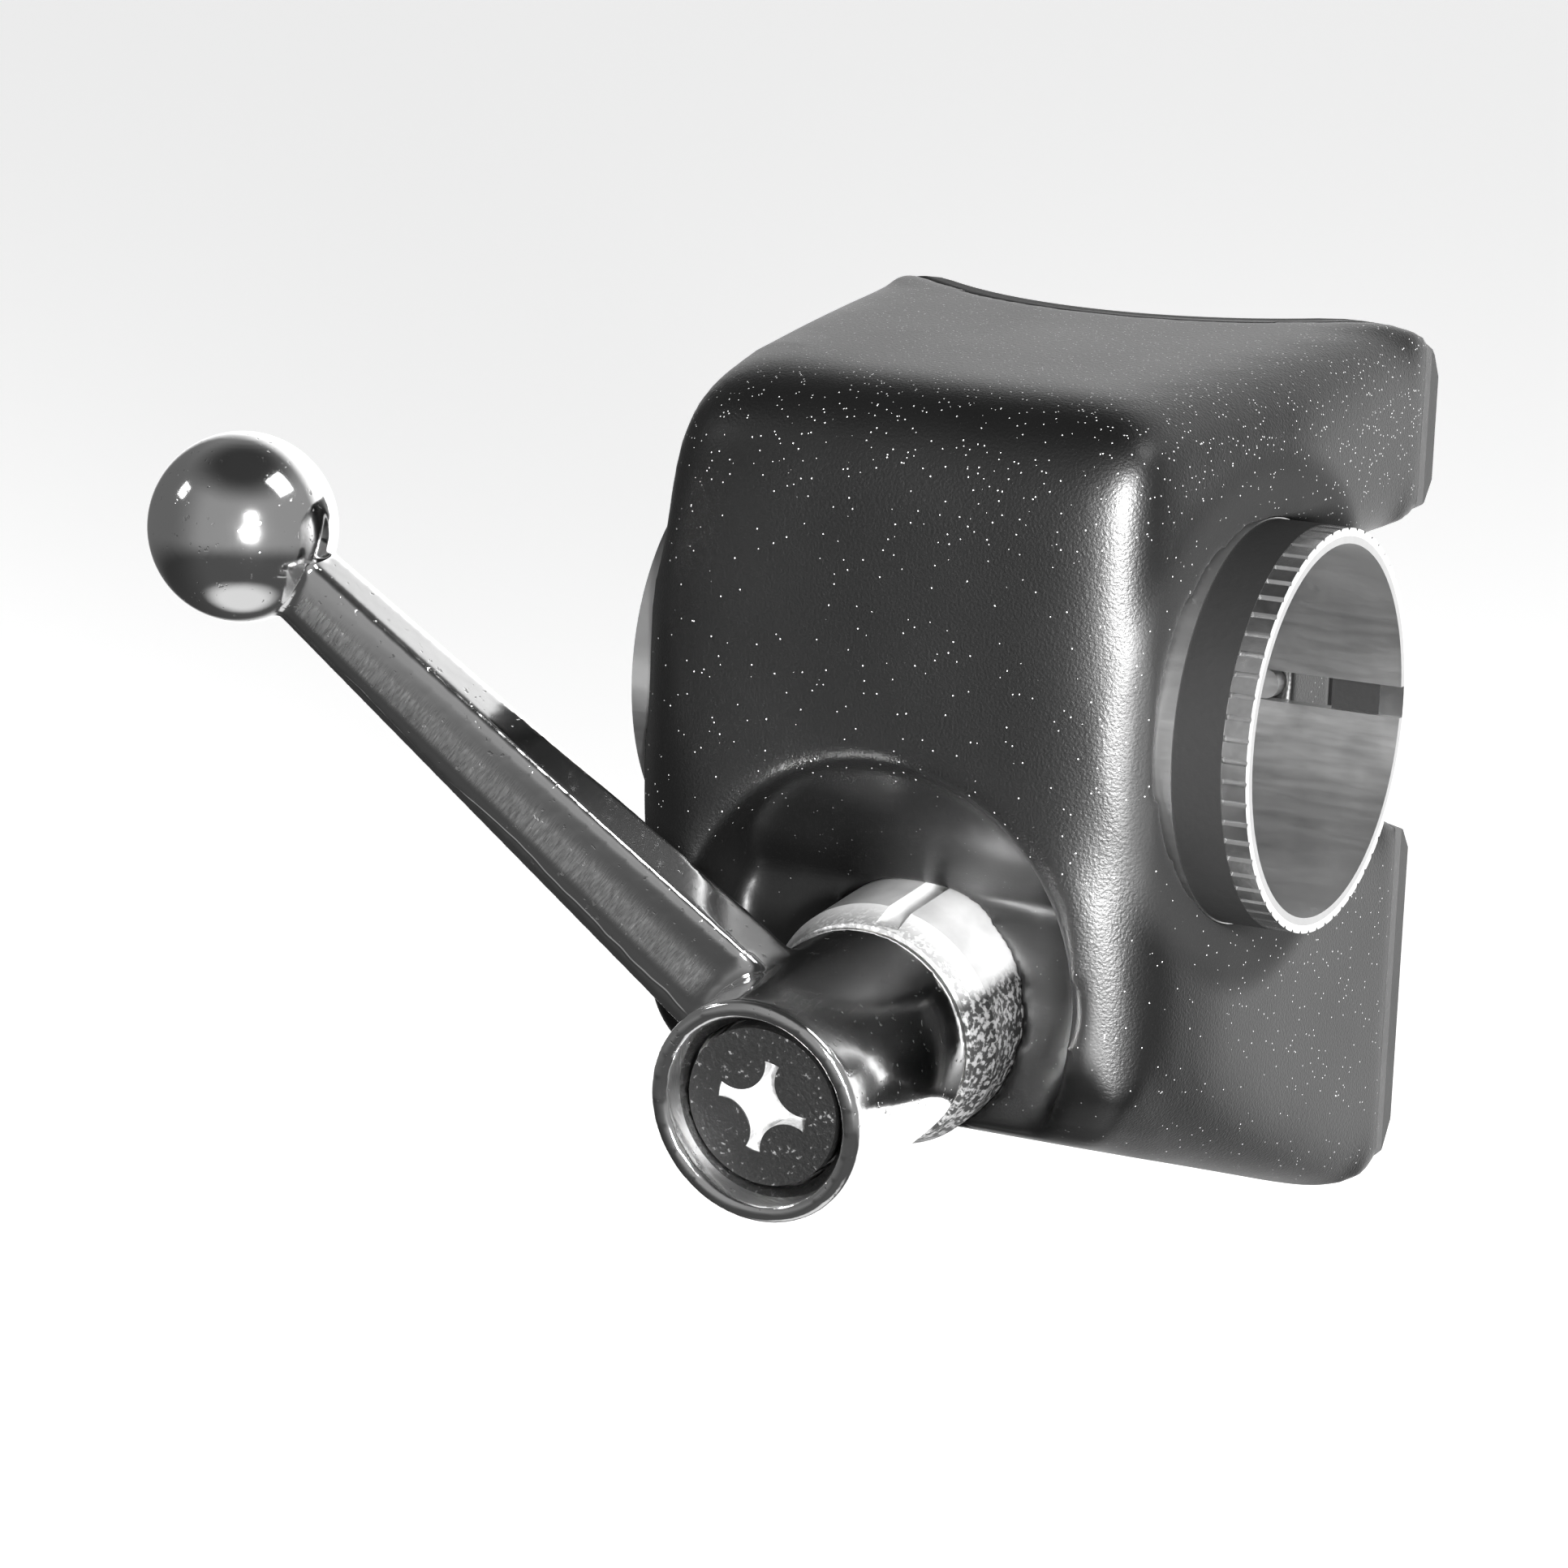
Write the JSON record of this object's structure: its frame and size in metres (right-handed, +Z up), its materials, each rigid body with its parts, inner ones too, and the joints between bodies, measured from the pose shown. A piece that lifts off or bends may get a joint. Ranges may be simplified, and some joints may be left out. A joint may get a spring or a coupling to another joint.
{
  "type": "pipe clamp",
  "caption": "Cast clamp block that carries a cross pipe on a round column and locks it by two cotters drawn together with a sprung ball-ended lever.",
  "frame": {"origin": "on the axis of the cross pipe, in the middle of the housing's width", "axes": "+X along the cross pipe, towards the knurled ring; +Y towards the column; +Z up the column"},
  "size_m": [0.0878, 0.0763, 0.0747],
  "materials": {
    "powder_coat": "fine black powder coat",
    "pad_rubber": "matte",
    "brass_insert": "machined",
    "plated_steel": "bright plated",
    "machined_steel": "turned",
    "black_nylon": "satin",
    "white_nylon": "satin",
    "spring_steel": "bright wire",
    "lever_chrome": "polished",
    "black_oxide": "rough black"
  },
  "bodies": {
    "block": {"housing": "powder_coat", "saddle_pad": "pad_rubber", "threaded_inserts": "brass_insert", "pipe_sleeve": "plated_steel", "dust_collar": "black_nylon", "knurled_ring": "plated_steel", "sleeve_pin": "machined_steel", "cotter_key": "machined_steel"},
    "front_jaw": {"front_cotter": "plated_steel", "release_spring": "spring_steel", "slide_washer": "white_nylon"},
    "rear_jaw": {"rear_cotter": "machined_steel"},
    "screw": {"clamp_stud": "machined_steel", "stud_pin": "machined_steel", "thrust_washer": "plated_steel", "toothed_insert": "machined_steel", "retaining_screw": "black_oxide", "lock_washer": "spring_steel"},
    "lever": {"lever": "lever_chrome", "spring_seat": "plated_steel", "lever_spring": "spring_steel"}
  },
  "joints": [
    {"name": "front_jaw_slide", "type": "slide", "parent": "block", "child": "front_jaw", "axis": [0, -0.9923, -0.1236], "range_m": [-0.0001, 0.0009], "deforming": ["release_spring"]},
    {"name": "screw_turn", "type": "hinge", "parent": "front_jaw", "child": "screw", "pos_m": [0, -0.01698, -0.02549], "axis": [0, 0.9923, 0.1236], "range_deg": [-450, 0]},
    {"name": "lever_lift", "type": "slide", "parent": "screw", "child": "lever", "axis": [0, -0.9923, -0.1236], "range_m": [0, 0.0036], "stiffness_N_per_m": 1200, "springref_m": -0.003, "deforming": ["lever_spring"]},
    {"name": "rear_jaw_slide", "type": "slide", "parent": "block", "child": "rear_jaw", "axis": [0, 0.9923, 0.1236], "range_m": [-0.0001, 0.0009]}
  ],
  "couplings": [
    {"joint": "front_jaw_slide", "follows": "screw_turn", "m_per_rad": -0.000099472},
    {"joint": "rear_jaw_slide", "follows": "screw_turn", "m_per_rad": -0.000099472}
  ]
}
